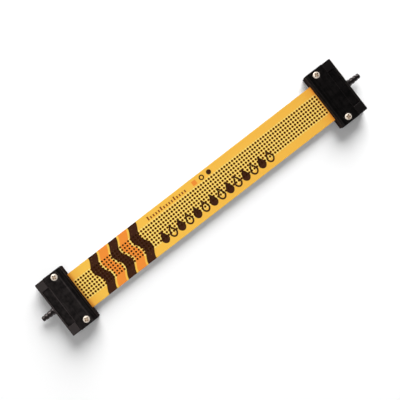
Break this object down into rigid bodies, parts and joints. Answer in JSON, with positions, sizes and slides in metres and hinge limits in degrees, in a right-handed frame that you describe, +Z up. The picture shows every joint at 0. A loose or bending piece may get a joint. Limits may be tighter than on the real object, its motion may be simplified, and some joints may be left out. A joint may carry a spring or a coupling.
{
  "type": "chemical leak sensor",
  "caption": "Flat film leak sensor: a perforated yellow sensing tape clamped at each end in a black screwed box with a ringed strain relief for its lead.",
  "frame": {"origin": "on the floor under the middle of the film", "axes": "+X along the film to the right end, +Y across it, +Z up out of the printed side"},
  "size_m": [0.2426, 0.0384, 0.0106],
  "materials": {
    "yellow_film": "satin printed film",
    "silver_ink": "printed, dull",
    "carrier_film": "milky satin film",
    "box_base": "fine moulded grain",
    "box_lid": "smooth moulded",
    "screw_nickel": "nickel plated, satin",
    "insert_brass": "turned",
    "relief_black": "soft moulded",
    "board_green": "circuit board",
    "contact_brass": "rolled strip",
    "post_tin": "tinned",
    "pad_rubber": "moulded"
  },
  "bodies": {
    "root": {"perforated_film": "yellow_film", "conductor_lines": "silver_ink", "base_film": "carrier_film", "left_base": "box_base", "left_lid": "box_lid", "left_lid_screws": "screw_nickel", "left_thread_inserts": "insert_brass", "left_strain_relief": "relief_black", "left_contact_board": "board_green", "left_contact_springs": "contact_brass", "left_wire_posts": "post_tin", "left_pressure_pad": "pad_rubber", "right_base": "box_base", "right_lid": "box_lid", "right_lid_screws": "screw_nickel", "right_thread_inserts": "insert_brass", "right_strain_relief": "relief_black", "right_contact_board": "board_green", "right_contact_springs": "contact_brass", "right_wire_posts": "post_tin", "right_pressure_pad": "pad_rubber"}
  },
  "joints": []
}
